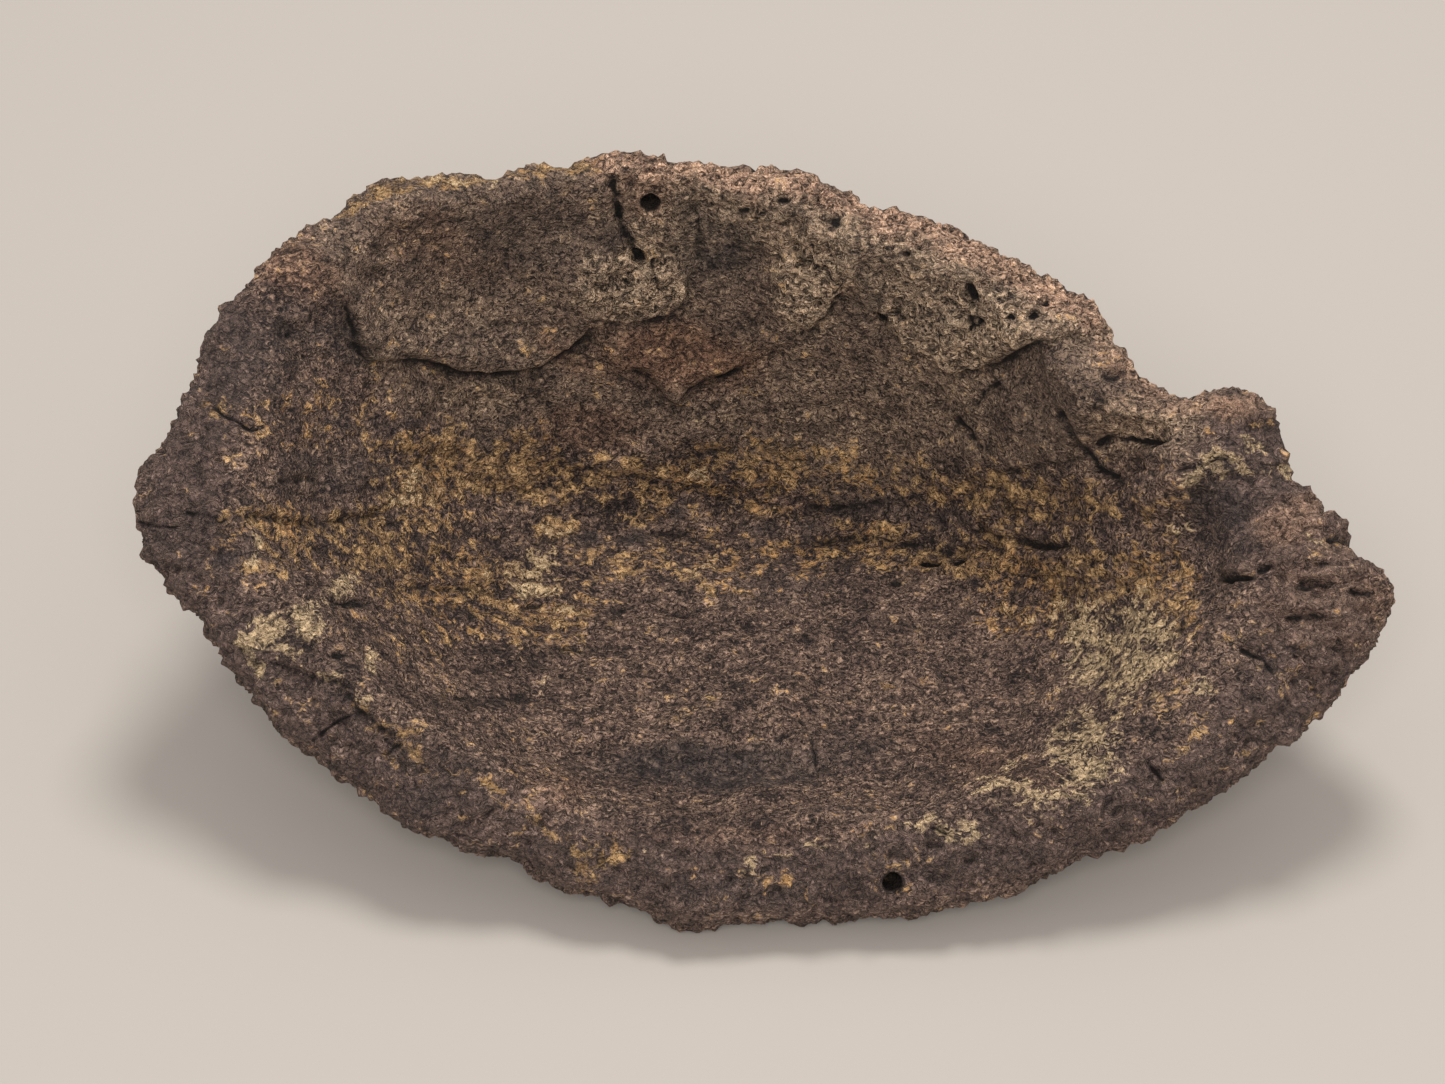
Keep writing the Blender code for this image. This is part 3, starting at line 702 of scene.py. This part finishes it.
class Graph:
    def __init__(self, name):
        self.material = bpy.data.materials.new(name)
        self.material.use_nodes = True
        self.tree = self.material.node_tree
        self.shader = self.tree.nodes["Principled BSDF"]

    def node(self, kind, settings=None, sockets=None, output=0):
        made = self.tree.nodes.new(kind)
        for name, value in (settings or {}).items():
            setattr(made, name, value)
        for name, value in (sockets or {}).items():
            if isinstance(value, Value):
                self.tree.links.new(value.socket, made.inputs[name])
            else:
                made.inputs[name].default_value = value
        return Value(self, made.outputs[output])

    def split(self, value):
        parts = self.node("ShaderNodeSeparateXYZ", {}, {0: value}).socket.node.outputs
        return [Value(self, part) for part in parts]

    def attribute(self, name):
        return self.node("ShaderNodeAttribute", {"attribute_name": name}, output="Fac")

    def mix(self, factor, first, second, blend="MIX"):
        return self.node("ShaderNodeMix", {"data_type": "RGBA", "blend_type": blend},
                         {0: factor, 6: first, 7: second}, output=2)

    def set(self, name, value):
        socket = self.shader.inputs[name]
        if isinstance(value, Value):
            self.tree.links.new(value.socket, socket)
        else:
            socket.default_value = value


def shade(red, green, blue):
    # a colour as the photograph shows it, 0 to 255, made linear
    return tuple(((c / 255 + 0.055) / 1.055) ** 2.4 for c in (red, green, blue)) + (1.0,)


boneColours = {
    # dark, middle and light grains
    "floor": ((54, 43, 40), (109, 88, 78), (166, 138, 119)),
    "wall": ((64, 53, 47), (130, 108, 93), (184, 158, 133)),
    "lip": ((62, 50, 47), (99, 81, 74), (150, 126, 115)),
    "sponge": ((68, 53, 45), (170, 143, 119), (232, 202, 170)),
    "pink": ((92, 70, 58), (182, 145, 121), (236, 197, 168)),
    "rust": ((68, 50, 41), (130, 95, 75), (166, 130, 104)),
}
# stain colours of the bone, and the painted shade tones for recesses and holes
stainAndShadeColours = {
    "tanDark": (112, 86, 60),
    "tan": (158, 124, 86),
    "ochre": (198, 160, 110),
    "orange": (194, 142, 84),
    "paleDark": (142, 118, 90),
    "pale": (202, 176, 139),
    "grey": (55, 51, 52),
    # painted shade for gaps, slits, seams, pores and crevices
    "recessShade": (28, 22, 20),
    # painted shade inside the holes
    "hole": (18, 14, 12),
}
boneFinish = {
    "fineScale": 1400,         # grains in a metre
    "fleckScale": 760,
    "strandScale": 900,
    "mediumScale": 330,
    "patchScale": 90,
    "seamScale": 200,
    "stretch": 0.72,          # how much longer the grain is along the keel
    "bend": 2.6 * mm,         # how far the grain is bent out of line
    "bumpDepth": 1.1 * mm,
    "roughness": 0.74,
}


def boneMaterial():
    g = Graph("fossilBone")
    zone = {name: g.attribute(name) for name in [*finishes, "paintedShade", "proud"]}
    tint = {name: shade(*colour) for name, colour in stainAndShadeColours.items()}
    place = g.node("ShaderNodeTexCoord", output="Object")

    def noise(vector, scale, detail=2.0, rough=0.55, output=0):
        return g.node("ShaderNodeTexNoise", {}, {"Vector": vector, "Scale": scale, "Detail": detail,
                                                 "Roughness": rough}, output=output)

    def vector(operation, *parts, scale=None, output=0):
        sockets = dict(enumerate(parts)) | ({} if scale is None else {"Scale": scale})
        return g.node("ShaderNodeVectorMath", {"operation": operation}, sockets, output)

    swirl = vector("SUBTRACT", noise(place, 560, 1, output="Color"), (0.5, 0.5, 0.5))
    bent = vector("MULTIPLY_ADD", swirl, (boneFinish["bend"],) * 3, place)
    along = vector("MULTIPLY", bent, (boneFinish["stretch"], 1.0, 1.0))
    fine = noise(along, boneFinish["fineScale"], 2, 0.65)
    fleck = noise(along, boneFinish["fleckScale"], 1, 0.6)
    threads = g.split(noise(along, boneFinish["strandScale"], 1, 0.5, output="Color"))
    thread, thread2, slit = ((1 - abs(part * 2 - 1) * 8).within() for part in threads)
    strands = (thread + thread2).within()
    slit = slit * (fleck + fine).ramp(1.08, 0.92)
    medium = noise(along, boneFinish["mediumScale"], 2, 0.6)
    patches = noise(along, boneFinish["patchScale"], 3, 0.6)
    layers = noise(vector("MULTIPLY", bent, (0.45, 1.0, 1.0)), boneFinish["seamScale"], 2, 0.6)
    seam = (1 - abs(layers * 2 - 1) * 11).within() * patches.ramp(0.46, 0.58)
    broad = noise(place, 38, 2, 0.5)
    print("bone textures made")

    # how light each grain is, with less contrast on the lip
    light = fine * 1.25 + strands * 0.26 + medium * 0.5 + patches * 0.7 - 0.815
    calm = zone["lip"] * 0.35 + zone["wall"] * (1 - zone["sponge"]) * 0.28
    light = light - (light - 0.46) * calm

    def grains(level):
        tone = g.mix(zone["wall"], *(shade(*boneColours[name][level]) for name in ("floor", "wall")))
        for name in ("rust", "lip", "sponge", "pink"):
            tone = g.mix(zone[name], tone, shade(*boneColours[name][level]))
        return tone

    base = g.mix(light.ramp(0.26, 0.47), grains(0), grains(1))
    base = g.mix(light.ramp(0.50, 0.80), base, grains(2))
    base = g.mix(zone["grey"] * 0.64, base, tint["grey"])

    # grains stained by iron, and pale crust
    speck = fine * 0.4 + fleck * 0.4 + medium * 0.85 + patches * 0.5 - 0.575 - zone["grey"] * 0.12
    rusty = zone["ochre"] * (1 - zone["grey"] * 0.8)
    warm = g.mix(medium.ramp(0.46, 0.64), tint["tan"], tint["ochre"])
    warm = g.mix((fleck + broad).ramp(1.1, 1.24) * 0.55, warm, tint["orange"])
    warm = g.mix(light.ramp(0.6, 0.3), warm, tint["tanDark"])
    base = g.mix((speck + rusty * 0.29).ramp(0.64, 0.78) * 0.85, base, warm)
    crust = (speck + zone["pale"] * 0.39).ramp(0.70, 0.84) * zone["pale"].ramp(0.0, 0.2)
    base = g.mix(crust * 0.9, base, g.mix(light.ramp(0.3, 0.65), tint["paleDark"], tint["pale"]))

    # painted shade in the gaps and slits between grains, in the seams between layers and in the sponge's
    # pores
    gap = (0.5 - fine * 0.6 - fleck * 0.4).ramp(0.04, 0.10) * 0.6 + slit
    pore = (0.46 - fleck).ramp(0.0, 0.05) * zone["sponge"] * 0.9
    base = g.mix((gap * (1 - zone["lip"] * 0.55)).within() * 0.72, base, tint["recessShade"])
    base = g.mix(seam * (1 - zone["sponge"]) * 0.6, base, tint["recessShade"])
    base = g.mix(pore, base, tint["recessShade"])
    base = g.mix(strands * zone["sponge"] * 0.35, base, grains(2))
    uneven = (fine * 0.6 + medium * 1.5 + patches * 1.1 - 1.6) * (1 - calm * 1.2)
    base = vector("SCALE", base, scale=uneven + 1.17)
    # painted shade: cracks, pits, layer edges and low relief darkened toward the recess shade tone
    hollowShade = (zone["paintedShade"] * 0.9 + (0 - zone["proud"]).ramp(0.15, 1.0) * 0.55).within()
    base = g.mix(hollowShade, base, tint["recessShade"])
    # painted highlight: raised relief lightened toward the light grain tone
    base = g.mix(zone["proud"].ramp(0.2, 1.0) * 0.25, base, grains(2))

    # painted shade inside the two holes
    for (mouth, out), shadeStrength in zip(holes["mouths"], holes["shadeStrength"]):
        out = Vector(out).normalized()
        rel = vector("SUBTRACT", place, tuple(c * mm for c in mouth))
        depth = vector("DOT_PRODUCT", rel, tuple(out), output="Value")
        off = vector("MULTIPLY_ADD", depth, tuple(-out), rel)
        far = vector("LENGTH", off, output="Value")
        inside = far.ramp(holes["shaded"][1] * mm, holes["shaded"][0] * mm) * shadeStrength
        inside = inside * depth.ramp(-holes["shadedTo"] * mm, (0.6 - holes["shadedTo"]) * mm)
        base = g.mix(inside, base, tint["hole"])
    g.set("Base Color", base)

    height = medium * 1.2 + fine * 1.2 + strands * 0.35 - slit * 0.7 + fleck * 0.4 - pore * 0.6 - seam * 0.8
    g.set("Normal", g.node("ShaderNodeBump", {}, {"Strength": 1.0, "Distance": boneFinish["bumpDepth"],
                                                  "Height": height}))
    g.set("Roughness", boneFinish["roughness"] + 0.15 * medium)
    g.set("Specular IOR Level", 0.4)
    return g.material


print("camera and studio")
makeCamera()
makeStudio()
print("bone")
boneRelief = makeBone()
boneRelief.data.materials.append(boneMaterial())
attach(boneRelief, "root")
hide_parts("scute")
